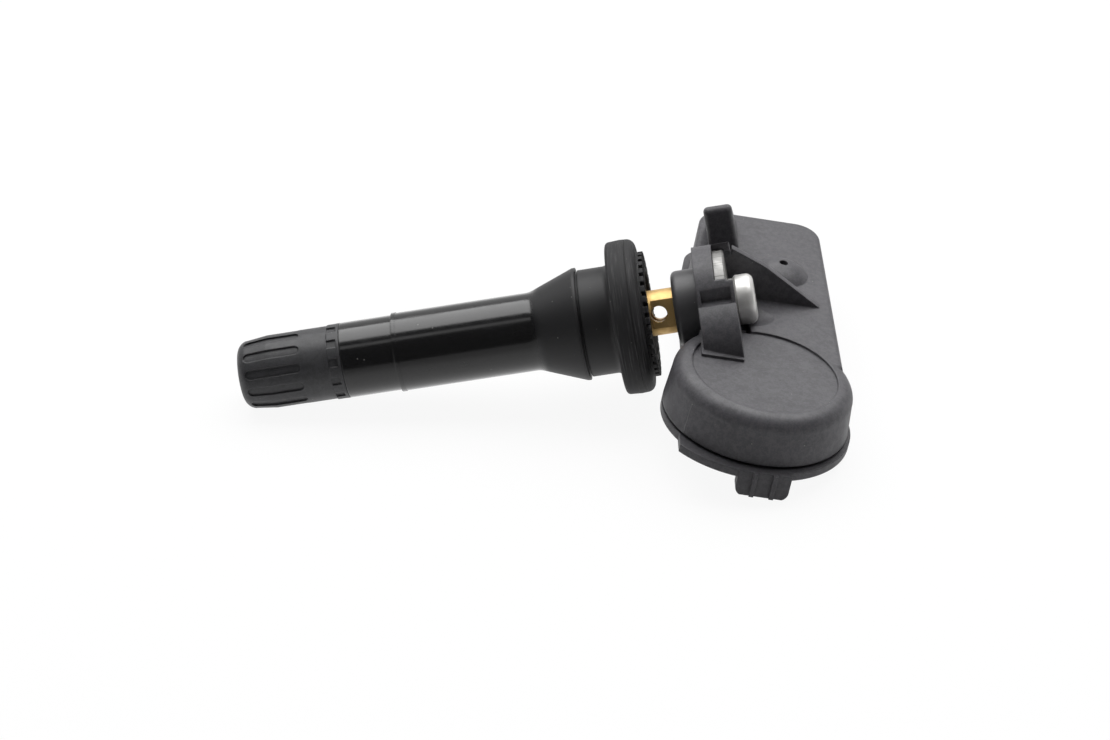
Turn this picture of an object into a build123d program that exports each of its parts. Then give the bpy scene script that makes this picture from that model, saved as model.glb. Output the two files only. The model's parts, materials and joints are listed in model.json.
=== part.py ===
from build123d import *
import math
import os

# Snap-in tyre pressure sensor: a rubber-covered brass valve with its dust cap and core,
# and a moulded sensor body clamped to the brass tail by one screw.
# Lengths are millimetres, angles degrees. The stem frame has X along the valve axis, from
# the cap towards the sensor, with zero in the middle of the rim groove. The body frame sits
# on the flat top of the sensor body, with x away from the valve, y along the body and z up.

# Rubber valve
RIM_GROOVE = 4.1          # width of the groove that grips the wheel
NECK_D = 13.2             # rubber diameter in that groove
NECK_RELIEF = 0.3         # width and depth of the relief behind the snap bulge
BULGE_D = 13.9            # snap bulge that passes the rim hole
BULGE_LAND = 0.35
CONE_LEN = 5.6
BARREL_D = 9.66           # long plain barrel
BARREL_LEN = 16.7
STEP_W = 0.5              # moulded bead between the two barrel sections
STEP_RISE = 0.08
MOUTH_WALL = 0.8          # rubber over the thread, next to the cap
MOUTH_LEN = 6.5
FLANGE_D = 19.0           # seals against the inside of the wheel
FLANGE_T = 3.6
FLANGE_DRAFT = 0.12
FLANGE_FRONT_R = 0.5
FLANGE_BACK_R = 1.0
NECK_FILLET = 0.7
CUFF_D = 15.4             # toothed ring moulded on the back of the flange
CUFF_BORE = 10.4
CUFF_T = 0.8
CUFF_TEETH = 36
CUFF_GAP = 0.55           # width of the gap between two teeth
CUFF_CUT = 0.5

# Brass stem
THREAD_D = 7.7            # outside of the inflation thread
THREAD_SUNK = 0.8         # thread length that the rubber covers
STEM_D = 6.6
ANCHOR_D = 9.0            # anchor ring bonded in the flange
ANCHOR_T = 1.2
ANCHOR_INSET = 0.95
TAIL_D = 5.6
TAIL_REACH = 8.55         # tail length behind the flange
TAIL_FLATS = 4.4
TAIL_FLATS_FROM = 0.9
TAIL_TURN = 25.0          # the flats look this far above the near side
AIR_BORE = 2.4
CROSS_HOLE_D = 2.0
CROSS_HOLE_AT = 1.8       # behind the back of the flange
TAIL_END_WALL = 0.9
MOUTH_CHAMFER = 0.3

# Valve core
CORE_THREAD_D = 5.1
CORE_THREAD_LEN = 3.2
CORE_SET_BACK = 1.0       # core head below the mouth of the stem
CORE_BARREL_D = 3.5
CORE_BARREL_LEN = 6.7
CORE_KEY_W = 1.3          # key slot across the core head
CORE_KEY_DEPTH = 0.9
CORE_GASKET_W = 1.2
CORE_CHAMBER_D = 2.7
CORE_FLOOR = 1.5
PIN_D = 1.1
PIN_SET_BACK = 0.4        # pin tip below the mouth of the stem
PIN_COLLAR_D = 2.2
PIN_COLLAR_T = 0.4
PIN_TRAVEL = 1.5
PIN_CLEARANCE = 0.1
CUP_D = 3.0
CUP_T = 1.1
CUP_SEAL_T = 0.5
SPRING_WIRE = 0.26
SPRING_TURNS = 5
CORE_FIT = 0.05

# Dust cap
CAP_WALL = 0.585          # over the thread
CAP_LEN = 13.0
CAP_END_IN = 0.475        # taper of the closed end
CAP_END_R = 1.5
CAP_TAPER_LEN = 3.9
CAP_END_WALL = 1.8
CAP_FIT = 0.09            # running gap between cap and stem threads
CAP_GAP = 0.06            # seam between cap and rubber
CAP_RING_RISE = 0.125
CAP_RING_W = 1.5
CAP_NOTCHES = 12
CAP_NOTCH_W = 1.05
CAP_NOTCH_DEPTH = 0.22
CAP_GRIPS = 12
CAP_GRIP_W = 1.15
CAP_GRIP_DEPTH = 0.22
CAP_GRIP_START = 1.0      # grip grooves, from the closed end
CAP_GRIP_END = 8.0
CAP_SEAL_IN = 0.6         # soft disc inside the thread diameter
CAP_SEAL_T = 0.8
CAP_SEAL_GAP = 0.1        # below the soft disc when the cap is home

# Sensor body, outside
BODY_BEND = 20.0          # body top falls this much against the valve axis
BODY_AT = 15.0            # valve station above the body datum
BODY_DROP = 1.2           # valve axis above the body top at that station
SLAB_LEFT = -2.5
SLAB_LEFT_FAR = -0.9      # the left side leans in towards the far end
SLAB_LEAN_FROM = 14.0
SLAB_RIGHT_IN = 1.5       # right side inside the round housing
SLAB_RIGHT_LEAN = 0.6
SLAB_FAR = 25.4
SLAB_NEAR = -9.0
SLAB_CORNER_R = 3.2
SLAB_TOP_R = 0.7
BODY_DEPTH = 6.45         # body top down to the base cover
SEAM_H = 0.4              # shadow groove above the base cover
SEAM_IN = 0.55
CELL_AT = (5.1, -12.5)    # centre of the round battery housing
DOME_WALL = 1.05          # wall round the cell, at the base cover
DOME_DRAFT = 0.35
DOME_SHOULDER_W = 1.9     # rounding from the wall to the flat top
DOME_SHOULDER_H = 2.0
PANEL_IN = 0.25           # shallow round panel on the flat top
PANEL_DEPTH = 0.3
ROOF = 1.3
WALL = 1.35

# Clamp collar on the sensor body
COLLAR_FROM = 12.45       # valve stations of the collar
COLLAR_TO = 17.05
COLLAR_R = 7.3
COLLAR_LEG_TOP = (6.1, 3.43)
COLLAR_LEG_MID = (8.9, 1.35)
COLLAR_LEG_FOOT = (10.1, -2.0)
COLLAR_ROOT = -3.0
PAD_LEFT = -2.6           # pad round the foot of the near leg
PAD_OUT = 0.6
PAD_H = 0.35
NOSE_D = 9.4
NOSE_LEN = 3.05
NOSE_R = 0.7
TAIL_FIT = 0.04
NOTCH_FLOOR = 3.4         # step cut in the near leg
NOTCH_BACK = 5.0
NOTCH_END = 0.45
PLATE_AT = 14.9           # steel clamp plate standing in the collar
PLATE_T = 1.35
PLATE_R = 6.45
PLATE_HALF_W = 4.2
PLATE_LOW = 3.2
PLATE_FIT = 0.03
PLATE_EDGE = 0.2
CHANNEL_NEAR = 4.4        # driver channel beside the screw
CHANNEL_ROOM = 0.4        # round the screw head
CROWN_FROM = 3.0          # the crown closes over the slot and the channel from here
VAULT_R = 6.1
CHANNEL_LEN = 5.2
ROOT_HALF_W = 5.2
ROOT_RIGHT = 6.6
ROOT_GAP = 0.25           # collar root above the cell
POCKET_W = 1.2
POCKET_NEAR = -3.8
POCKET_FAR = 0.3
POCKET_DEPTH = 1.5
WEB_AT = 4.3              # triangular web along the driver channel
WEB_T = 1.0
WEB_CREST = (0.6, 6.5)
WEB_KNEE = (5.2, 4.65)
WEB_TIP = (13.0, 0.0)
WEB_KNEE_R = 9.0
FIN_NEAR = 14.8           # rim foot at the far end
FIN_FROM = 14.2
FIN_TO = 17.8
FIN_TOP = 5.55
FIN_R = 0.7
FIN_ROOT = -3.4
FIN_SIDE_R = 0.6

# Pressure port
PORT_AT = (8.6, 11.7)
PORT_BOSS_R = 3.4
PORT_BOSS_H = 1.55
PORT_D = 1.1

# Base cover
LIP_T = 1.0
LIP_OUT = 0.75            # lip outside the walls of the body
LIP_ROUND_OUT = 1.0       # round the battery housing
LIP_SHIFT = (-0.6, -0.1)  # the lip's circle against the battery housing
LIP_LEFT = -4.4           # the lip stops here on the valve side
TRAY_LEFT = 0.5
TRAY_RIGHT = 13.4
TRAY_NEAR = -19.0
TRAY_FAR = 21.0
TRAY_CORNER = 2.4         # corners cut off at 45 degrees
TRAY_DEPTH = 1.95
TRAY_WALL = 1.2
TRAY_EDGE = 0.4
TAB_AT = 5.75
TAB_W = 6.4
TAB_T = 1.6
TAB_DROP = 2.5
TAB_DRAFT = 0.15          # the underside rises this much to the outer face
TAB_CORNER_R = 1.2
TAB_RIB_W = 0.55
TAB_RIB_OUT = 0.45
TAB_RIB_PITCH = 2.4
REST_R = 0.8              # board rests on the tray floor
REST_H = 0.6

# Screw
SCREW_D = 3.2
SCREW_LEN = 6.4
SCREW_FIT = 0.02
SCREW_HOLE_FIT = 0.2
WASHER_D = 5.5            # washer face under the head
WASHER_T = 0.6
HEAD_D = 6.2
HEAD_T = 2.45
HEAD_R = 0.9
DRIVE_R = 0.95
DRIVE_LOBE_R = 0.36
DRIVE_LOBES = 6
DRIVE_DEPTH = 1.4

# Electronics
CELL_D = 20.0
CELL_T = 3.2
CELL_CAP_D = 17.6
CELL_CAP_T = 0.35
CELL_EDGE = 0.3
CELL_ROOM = 0.35          # between cell and battery housing wall
RIB_IN = 3.0              # ring rib above the cell, inside its edge
RIB_T = 1.0
RIB_GAP = 0.05
BOARD_GAP = 0.4           # cell to board
BOARD_T = 1.0
BOARD_IN = 0.4            # board edge inside the tray walls
STRAP_T = 0.15
STRAP_W = 3.0
STRAP_FOOT = 2.2
STRAP_RIB_GAP = 0.3       # strap end to ring rib
POSITIVE_STRAP_AT = 4.6   # beside the cell's middle
NEGATIVE_STRAP_AT = -0.2
NEGATIVE_STRAP_REACH = 6.0
CHIP_SIZE = 6.0
CHIP_T = 2.2
CHIP_PORT_DEPTH = 0.5
CHIP_EDGE = 0.3
SEAL_D = 4.0
SEAL_BORE = 1.6
COIL_AT = (7.0, 17.2)
COIL_LEN = 8.0
COIL_FLANGE = 2.6
COIL_FLANGE_T = 1.0
COIL_CORE = 1.5
COIL_WIRE = 2.3
CRYSTAL_AT = (3.9, 12.0)
CRYSTAL_SIZE = (2.5, 3.2, 0.9)
CAPACITOR_SIZE = (0.8, 1.6, 0.8)
CAPACITOR_FIRST = (3.2, 5.0)
CAPACITOR_PITCH = 1.5
CAPACITORS = 5
ANTENNA_WIRE = 0.6
ANTENNA_AT = 11.1
ANTENNA_GAP = 0.9         # behind the strap's foot
ANTENNA_SPAN = 5.6
ANTENNA_H = 2.4
ANTENNA_R = 0.9

# Stations along the valve axis
groove_front = -RIM_GROOVE / 2
groove_back = RIM_GROOVE / 2
flange_back = groove_back + FLANGE_T
cone_end = groove_front - BULGE_LAND
cone_start = cone_end - CONE_LEN
step_end = cone_start - BARREL_LEN
step_start = step_end - STEP_W
rubber_mouth = step_start - MOUTH_LEN
thread_end = rubber_mouth + THREAD_SUNK
tail_end = flange_back + TAIL_REACH
cap_open = rubber_mouth - CAP_GAP
cap_closed = cap_open - CAP_LEN
stem_mouth = cap_closed + CAP_END_WALL + CAP_SEAL_T + CAP_SEAL_GAP
core_top = stem_mouth + CORE_SET_BACK
core_shoulder = core_top + CORE_THREAD_LEN
core_end = core_shoulder + CORE_BARREL_LEN
plate_end = PLATE_AT + PLATE_T
nose_start = COLLAR_FROM - NOSE_LEN

# Radii that follow the thread and the cell
mouth_r = THREAD_D / 2 + MOUTH_WALL
cap_bore_r = THREAD_D / 2 + CAP_FIT
cap_r = cap_bore_r + CAP_WALL
cap_ring_r = cap_r + CAP_RING_RISE
cap_end_r = cap_r - CAP_END_IN
cap_seal_r = THREAD_D / 2 - CAP_SEAL_IN
cell_room_r = CELL_D / 2 + CELL_ROOM
dome_wall_r = cell_room_r + DOME_WALL
dome_shoulder_r = dome_wall_r - DOME_DRAFT
dome_top_r = dome_shoulder_r - DOME_SHOULDER_W
lip_r = dome_wall_r + LIP_ROUND_OUT
slab_right = CELL_AT[0] + dome_wall_r - SLAB_RIGHT_IN
slab_right_far = slab_right - SLAB_RIGHT_LEAN
rib_r = CELL_D / 2 - RIB_IN

# Heights in the body frame
lip_base = -BODY_DEPTH - LIP_T
tray_base = lip_base - TRAY_DEPTH
tray_floor = tray_base + TRAY_WALL
board_base = tray_floor + REST_H
board_top = board_base + BOARD_T
cell_base = board_top + BOARD_GAP
cell_top = cell_base + CELL_T
pocket_left = (COLLAR_TO - BODY_AT + BODY_DROP * math.sin(math.radians(BODY_BEND))) / math.cos(
    math.radians(BODY_BEND)
)

BODY = Pos(BODY_AT, 0, 0) * Rot(0, BODY_BEND, 0) * Pos(0, 0, -BODY_DROP)
FLATS = Rot(-TAIL_TURN, 0, 0)
MATCH = 1e-3


def turned(*corners):
    """Body of revolution about the valve axis, from (station, radius) corners."""
    return revolve(make_face(Polyline(*corners, close=True)), Axis.X)


def rod(start, end, diameter):
    """Round bar on the valve axis."""
    return Pos(start, 0, 0) * Rot(0, 90, 0) * Cylinder(
        diameter / 2, end - start, align=(Align.CENTER, Align.CENTER, Align.MIN)
    )


def ring_edges(solid, station, radius):
    """Circular edges of a turned body at one station and radius."""
    return [
        edge
        for edge in solid.edges().filter_by(GeomType.CIRCLE)
        if abs(edge.arc_center.X - station) < MATCH and abs(edge.radius - radius) < MATCH
    ]


def block(low, high):
    """Box between two corners."""
    size = [b - a for a, b in zip(low, high)]
    return Pos(*low) * Box(*size, align=Align.MIN)


def plan(outline, low, high):
    """Upright prism over a plan outline, between two heights."""
    return extrude(Pos(0, 0, low) * outline, high - low, dir=(0, 0, 1))


def around(solid, count):
    """Copies of a cutter spread evenly about the valve axis."""
    return [Rot(360 / count * i, 0, 0) * solid for i in range(count)]


def flatted(diameter, flats, start, end):
    """Round bar with two flats, turned to the tail's angle."""
    bar = rod(start, end, diameter)
    keep = Pos((start + end) / 2, 0, 0) * Box(end - start, flats, diameter + 1)
    return FLATS * (bar & keep)


def rubber_valve():
    """Moulded rubber: barrel, snap cone, rim groove and flange, bonded to the brass."""
    bulge = BULGE_D / 2
    neck = NECK_D / 2
    barrel = BARREL_D / 2
    rim = FLANGE_D / 2
    parting = (groove_back + flange_back) / 2
    body = turned(
        (rubber_mouth, 0),
        (rubber_mouth, mouth_r),
        (step_start, mouth_r),
        (step_start, barrel + STEP_RISE),
        (step_end, barrel + STEP_RISE),
        (step_end, barrel),
        (cone_start, barrel),
        (cone_end, bulge),
        (groove_front, bulge),
        (groove_front, neck - NECK_RELIEF),
        (groove_front + NECK_RELIEF, neck - NECK_RELIEF),
        (groove_front + NECK_RELIEF, neck),
        (groove_back, neck),
        (groove_back, rim - FLANGE_DRAFT),
        (parting, rim),
        (flange_back, rim - FLANGE_DRAFT),
        (flange_back, 0),
    )
    body = fillet(ring_edges(body, groove_back, rim - FLANGE_DRAFT), FLANGE_FRONT_R)
    body = fillet(ring_edges(body, flange_back, rim - FLANGE_DRAFT), FLANGE_BACK_R)
    body = fillet(ring_edges(body, groove_back, neck), NECK_FILLET)
    body = fillet(ring_edges(body, cone_start, barrel), CONE_LEN / 2)
    cuff_end = flange_back + CUFF_T
    body += rod(flange_back, cuff_end, CUFF_D)
    body -= rod(flange_back, cuff_end, CUFF_BORE)
    gap = block(
        (cuff_end - CUFF_CUT, CUFF_BORE / 2 + CUFF_CUT, -CUFF_GAP / 2),
        (cuff_end + 1, CUFF_D / 2 + 1, CUFF_GAP / 2),
    )
    body -= around(gap, CUFF_TEETH)
    return body - stem_outside()


def stem_outside():
    """Outer form of the brass stem without its bores."""
    anchor = flange_back - ANCHOR_INSET - ANCHOR_T
    bar = turned(
        (stem_mouth, 0),
        (stem_mouth, THREAD_D / 2),
        (thread_end, THREAD_D / 2),
        (thread_end, STEM_D / 2),
        (anchor, STEM_D / 2),
        (anchor, ANCHOR_D / 2),
        (anchor + ANCHOR_T, ANCHOR_D / 2),
        (anchor + ANCHOR_T, TAIL_D / 2),
        (tail_end, TAIL_D / 2),
        (tail_end, 0),
    )
    bar = chamfer(ring_edges(bar, stem_mouth, THREAD_D / 2), MOUTH_CHAMFER)
    flats_start = flange_back + TAIL_FLATS_FROM
    round_tail = rod(flats_start, tail_end + 1, TAIL_D + 1)
    return bar - (round_tail - flatted(TAIL_D, TAIL_FLATS, flats_start, tail_end + 1))


def brass_stem():
    """Stem with the core seat, the air bore, the cross hole and the tapped tail."""
    seat = CORE_BARREL_D / 2 + CUP_T / 2
    throat = core_end + CUP_T + CUP_SEAL_T + PIN_TRAVEL + 2 * CORE_FIT
    cross = flange_back + CROSS_HOLE_AT
    air = AIR_BORE / 2
    bores = turned(
        (stem_mouth, 0),
        (stem_mouth, CORE_THREAD_D / 2 + CORE_FIT),
        (core_shoulder, CORE_THREAD_D / 2 + CORE_FIT),
        (core_shoulder + CORE_FIT, seat),
        (throat, seat),
        (throat + seat - air, air),
        (cross + CROSS_HOLE_D / 2, air),
        (cross + CROSS_HOLE_D / 2, 0),
    )
    tapped = rod(cross + CROSS_HOLE_D / 2 + TAIL_END_WALL, tail_end, SCREW_D + 2 * SCREW_FIT)
    hole = FLATS * Pos(cross, 0, 0) * Rot(90, 0, 0) * Cylinder(CROSS_HOLE_D / 2, TAIL_D + 1)
    return stem_outside() - bores - tapped - hole


def core_plug():
    """Threaded core head and barrel that carry the valve pin."""
    thread = CORE_THREAD_D / 2
    barrel = CORE_BARREL_D / 2
    body = turned(
        (core_top, 0),
        (core_top, thread),
        (core_shoulder, thread),
        (core_shoulder, barrel),
        (core_end, barrel),
        (core_end, 0),
    )
    body -= rod(core_top, core_end, PIN_D + 2 * PIN_CLEARANCE)
    body -= rod(core_shoulder, core_end - CORE_FLOOR, CORE_CHAMBER_D)
    key = Pos(core_top, 0, 0) * Box(2 * CORE_KEY_DEPTH, CORE_THREAD_D + 1, CORE_KEY_W)
    cheek = block(
        (core_top, CORE_BARREL_D / 2, -CORE_THREAD_D),
        (core_top + CORE_KEY_DEPTH, CORE_THREAD_D, CORE_THREAD_D),
    )
    return body - key - cheek - Rot(180, 0, 0) * cheek


def core_gasket():
    """Sealing ring round the core barrel."""
    start = core_shoulder + CORE_GASKET_W
    outer = CORE_BARREL_D + CUP_T - 2 * CORE_FIT
    ring = rod(start, start + CORE_GASKET_W, outer) - rod(start, start + CORE_GASKET_W, CORE_BARREL_D)
    return chamfer(ring_edges(ring, start, outer / 2), CORE_GASKET_W / 4)


def core_pin():
    """Valve pin with its spring collar and the cup that opens inwards."""
    collar = core_shoulder + PIN_CLEARANCE
    cup = core_end + CUP_SEAL_T + CORE_FIT
    body = rod(stem_mouth + PIN_SET_BACK, cup + CUP_T, PIN_D)
    body += rod(collar, collar + PIN_COLLAR_T, PIN_COLLAR_D)
    body += rod(cup, cup + CUP_T, CUP_D)
    return chamfer(ring_edges(body, cup + CUP_T, CUP_D / 2), CUP_T / 3)


def core_seal():
    """Rubber washer on the cup, closing the core barrel."""
    start = core_end + CORE_FIT
    return rod(start, start + CUP_SEAL_T, CUP_D) - rod(start, start + CUP_SEAL_T, PIN_D)


def core_spring():
    """Coil spring of fine six-sided wire, from the pin collar to the floor of the core barrel."""
    start = core_shoulder + PIN_CLEARANCE + PIN_COLLAR_T + SPRING_WIRE
    end = core_end - CORE_FLOOR - SPRING_WIRE
    radius = (CORE_CHAMBER_D - SPRING_WIRE) / 2 - PIN_CLEARANCE
    coil = Helix(pitch=(end - start) / SPRING_TURNS, height=end - start, radius=radius)
    wire = sweep(Plane(coil @ 0, z_dir=coil % 0) * RegularPolygon(SPRING_WIRE / 2, 6), path=coil)
    return Pos(start, 0, 0) * Rot(0, 90, 0) * wire


def valve_cap():
    """Dust cap with grip grooves that follow its tapered end, and a notched ring at its mouth."""
    ring_start = cap_open - CAP_RING_W
    body = turned(
        (cap_closed, 0),
        (cap_closed, cap_end_r),
        (cap_closed + CAP_TAPER_LEN, cap_r),
        (ring_start, cap_r),
        (ring_start, cap_ring_r),
        (cap_open, cap_ring_r),
        (cap_open, 0),
    )
    body = fillet(ring_edges(body, cap_closed, cap_end_r), CAP_END_R)
    grip_end = cap_closed + CAP_GRIP_END
    floor = turned(
        (cap_closed, 0),
        (cap_closed, cap_end_r - CAP_GRIP_DEPTH),
        (cap_closed + CAP_TAPER_LEN, cap_r - CAP_GRIP_DEPTH),
        (grip_end, cap_r - CAP_GRIP_DEPTH),
        (grip_end, 0),
    )
    slot = SlotOverall(CAP_GRIP_END - CAP_GRIP_START, CAP_GRIP_W)
    slot = Pos(cap_closed + (CAP_GRIP_START + CAP_GRIP_END) / 2, 0, cap_end_r / 2) * extrude(slot, cap_r)
    body -= around(slot - floor, CAP_GRIPS)
    notch = block(
        (ring_start - MATCH, -CAP_NOTCH_W / 2, cap_ring_r - CAP_NOTCH_DEPTH),
        (cap_open - CAP_RING_W / 4, CAP_NOTCH_W / 2, 2 * cap_ring_r),
    )
    body -= around(notch, CAP_NOTCHES)
    seat = cap_closed + CAP_END_WALL
    body -= rod(seat, cap_open, 2 * (cap_seal_r + CAP_FIT))
    return body - rod(seat + CAP_SEAL_T, cap_open, 2 * cap_bore_r)


def cap_seal():
    """Soft disc in the closed end of the cap."""
    return rod(cap_closed + CAP_END_WALL, stem_mouth - CAP_SEAL_GAP, 2 * cap_seal_r)


def slab_outline(grow=0.0):
    """Plan of the flat half of the body, with its leaning sides."""
    outline = make_face(
        Polyline(
            (SLAB_LEFT - grow, SLAB_NEAR),
            (slab_right + grow, SLAB_NEAR),
            (slab_right_far + grow, SLAB_FAR + grow),
            (SLAB_LEFT_FAR - grow, SLAB_FAR + grow),
            (SLAB_LEFT - grow, SLAB_LEAN_FROM),
            close=True,
        )
    )
    far = outline.vertices().sort_by(Axis.Y)[-2:]
    return fillet(far, SLAB_CORNER_R + grow)


def round_outline(radius):
    """Plan circle of the battery housing."""
    return Pos(*CELL_AT) * Circle(radius)


def on_cell(solid):
    """Place a body on the axis of the battery housing."""
    return Pos(CELL_AT[0], CELL_AT[1], 0) * solid


def body_shell():
    """Flat half and round battery housing, hollow and open below."""
    seam = -BODY_DEPTH + SEAM_H
    slab = plan(slab_outline(), seam, 0)
    slab = fillet(slab.edges().group_by(Axis.Z)[-1], SLAB_TOP_R)
    outline = make_face(
        Polyline((0, seam), (0, 0), (dome_top_r, 0))
        + TangentArc((dome_top_r, 0), (dome_shoulder_r, -DOME_SHOULDER_H), tangent=(1, 0))
        + Polyline((dome_shoulder_r, -DOME_SHOULDER_H), (dome_wall_r, seam), (0, seam))
    )
    dome = on_cell(revolve(Plane.XZ * outline, Axis.Z))
    body = slab + dome
    body += plan(slab_outline(-SEAM_IN) + round_outline(dome_wall_r - SEAM_IN), -BODY_DEPTH, seam)
    body -= plan(round_outline(dome_top_r - PANEL_IN), -PANEL_DEPTH, 1)
    body -= plan(slab_outline(-WALL), -BODY_DEPTH, -ROOF)
    body -= plan(round_outline(cell_room_r), -BODY_DEPTH, -ROOF - PANEL_DEPTH)
    rib = Circle(rib_r) - Circle(rib_r - RIB_T)
    body += on_cell(plan(rib, cell_top + RIB_GAP, -ROOF))
    root = block((SLAB_LEFT, -ROOT_HALF_W, cell_top + ROOT_GAP), (ROOT_RIGHT, ROOT_HALF_W, -ROOF))
    pad = block(
        (PAD_LEFT, -COLLAR_LEG_FOOT[0] - PAD_OUT, -ROOF),
        (pocket_left, -ROOT_HALF_W, PAD_H - PANEL_DEPTH),
    )
    return body + root + pad


def port_boss():
    """Low rounded boss round the pressure port."""
    radius = (PORT_BOSS_R**2 + PORT_BOSS_H**2) / (2 * PORT_BOSS_H)
    ball = Pos(PORT_AT[0], PORT_AT[1], PORT_BOSS_H - radius) * Sphere(radius)
    return ball & block(
        (PORT_AT[0] - PORT_BOSS_R, PORT_AT[1] - PORT_BOSS_R, -ROOF / 2),
        (PORT_AT[0] + PORT_BOSS_R, PORT_AT[1] + PORT_BOSS_R, PORT_BOSS_H),
    )


def web():
    """Thin triangular web that stiffens the collar along the driver channel."""
    outline = make_face(
        Polyline(
            WEB_TIP,
            WEB_KNEE,
            WEB_CREST,
            (WEB_CREST[0], -ROOF / 2),
            (WEB_TIP[0] - ROOF, -ROOF / 2),
            close=True,
        )
    )
    knee = outline.vertices().sort_by_distance((WEB_KNEE[0], WEB_KNEE[1], 0))[0]
    outline = fillet(knee, WEB_KNEE_R)
    return Pos(0, WEB_AT + WEB_T, 0) * extrude(Plane.XZ * outline, WEB_T)


def rim_foot():
    """Wedge at the far end of the body that leans on the wheel."""
    outline = make_face(
        Polyline(
            (FIN_NEAR, FIN_ROOT),
            (FIN_NEAR, FIN_TOP),
            (SLAB_FAR - SLAB_TOP_R, FIN_ROOT),
            close=True,
        )
    )
    crest = outline.vertices().sort_by_distance((FIN_NEAR, FIN_TOP, 0))[0]
    outline = fillet(crest, FIN_R)
    foot = extrude(Plane.YZ * outline, FIN_TO - FIN_FROM)
    near = foot.faces().sort_by(Axis.Y)[0]
    foot = fillet(near.edges().filter_by(Axis.Z), FIN_SIDE_R)
    return Pos(FIN_FROM, 0, 0) * foot


def collar():
    """Arched collar round the brass tail, with two legs on the body and a nose."""
    leg_y, leg_z = COLLAR_LEG_TOP
    mid_y, mid_z = COLLAR_LEG_MID
    foot_y, foot_z = COLLAR_LEG_FOOT
    outline = make_face(
        ThreePointArc((-foot_y, foot_z), (-mid_y, mid_z), (-leg_y, leg_z))
        + ThreePointArc((-leg_y, leg_z), (0, COLLAR_R), (leg_y, leg_z))
        + ThreePointArc((leg_y, leg_z), (mid_y, mid_z), (foot_y, foot_z))
        + Polyline((foot_y, foot_z), (foot_y, COLLAR_ROOT), (-foot_y, COLLAR_ROOT), (-foot_y, foot_z))
    )
    band = extrude(Plane.YZ * outline, COLLAR_TO - COLLAR_FROM)
    band = Pos(COLLAR_FROM, 0, 0) * band
    nose = rod(nose_start, COLLAR_FROM, NOSE_D)
    nose = fillet(ring_edges(nose, nose_start, NOSE_D / 2), NOSE_R)
    return band + nose


def plate_outline(grow=0.0):
    """Clamp plate seen along the valve axis: round top, straight sides, flat foot."""
    disc = Circle(PLATE_R + grow)
    strip = Rectangle(2 * (PLATE_HALF_W + grow), 4 * PLATE_R)
    above = Pos(0, -PLATE_LOW - grow) * Rectangle(
        4 * PLATE_R, 4 * PLATE_R, align=(Align.CENTER, Align.MIN)
    )
    return disc & strip & above


def collar_cuts():
    """Everything cut from the collar: tail bore, plate slot, driver channel and steps."""
    high = 2 * COLLAR_R
    tail = flatted(TAIL_D + 2 * TAIL_FIT, TAIL_FLATS + 2 * TAIL_FIT, nose_start - NOSE_LEN, tail_end)
    screw = rod(tail_end - MATCH, plate_end, SCREW_D + 2 * SCREW_HOLE_FIT)
    slot_start = PLATE_AT - PLATE_FIT
    slot = Pos(slot_start, 0, 0) * extrude(Plane.YZ * plate_outline(PLATE_FIT), PLATE_T + PLATE_FIT)
    mouth = block((slot_start, -PLATE_HALF_W, 0), (plate_end, CROWN_FROM, high))
    channel_end = COLLAR_TO + NOSE_LEN
    channel = block((plate_end, -CHANNEL_NEAR, 0), (channel_end, CROWN_FROM, high))
    vault = rod(plate_end, channel_end, 2 * VAULT_R) & block((plate_end, 0, 0), (channel_end, WEB_AT, high))
    groove = rod(plate_end, plate_end + CHANNEL_LEN, HEAD_D + 2 * CHANNEL_ROOM)
    notch = block(
        (COLLAR_FROM + NOTCH_END, -high, NOTCH_FLOOR),
        (COLLAR_TO - NOTCH_END, -NOTCH_BACK, high),
    )
    return [tail, screw, slot, mouth, channel, vault, groove, notch]


def sensor_housing():
    """Moulded upper body: shell, collar, web, rim foot and port in one piece."""
    body = BODY * (body_shell() + port_boss())
    body += collar()
    body += rim_foot()
    body += BODY * web()
    body -= collar_cuts()
    port = Pos(PORT_AT[0], PORT_AT[1], 0) * Cylinder(PORT_D / 2, 4 * ROOF)
    pocket = block(
        (pocket_left, POCKET_NEAR, -POCKET_DEPTH), (pocket_left + POCKET_W, POCKET_FAR, ROOF)
    )
    body -= BODY * port
    body -= BODY * pocket
    return body


def tray_outline(inset=0.0):
    """Rectangle with cut corners of the tray under the body, drawn in by an even inset."""
    width = TRAY_RIGHT - TRAY_LEFT - 2 * inset
    length = TRAY_FAR - TRAY_NEAR - 2 * inset
    centre = Pos((TRAY_LEFT + TRAY_RIGHT) / 2, (TRAY_NEAR + TRAY_FAR) / 2)
    sheet = Rectangle(width, length)
    return centre * chamfer(sheet.vertices(), TRAY_CORNER - inset * (2 - math.sqrt(2)))


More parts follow.
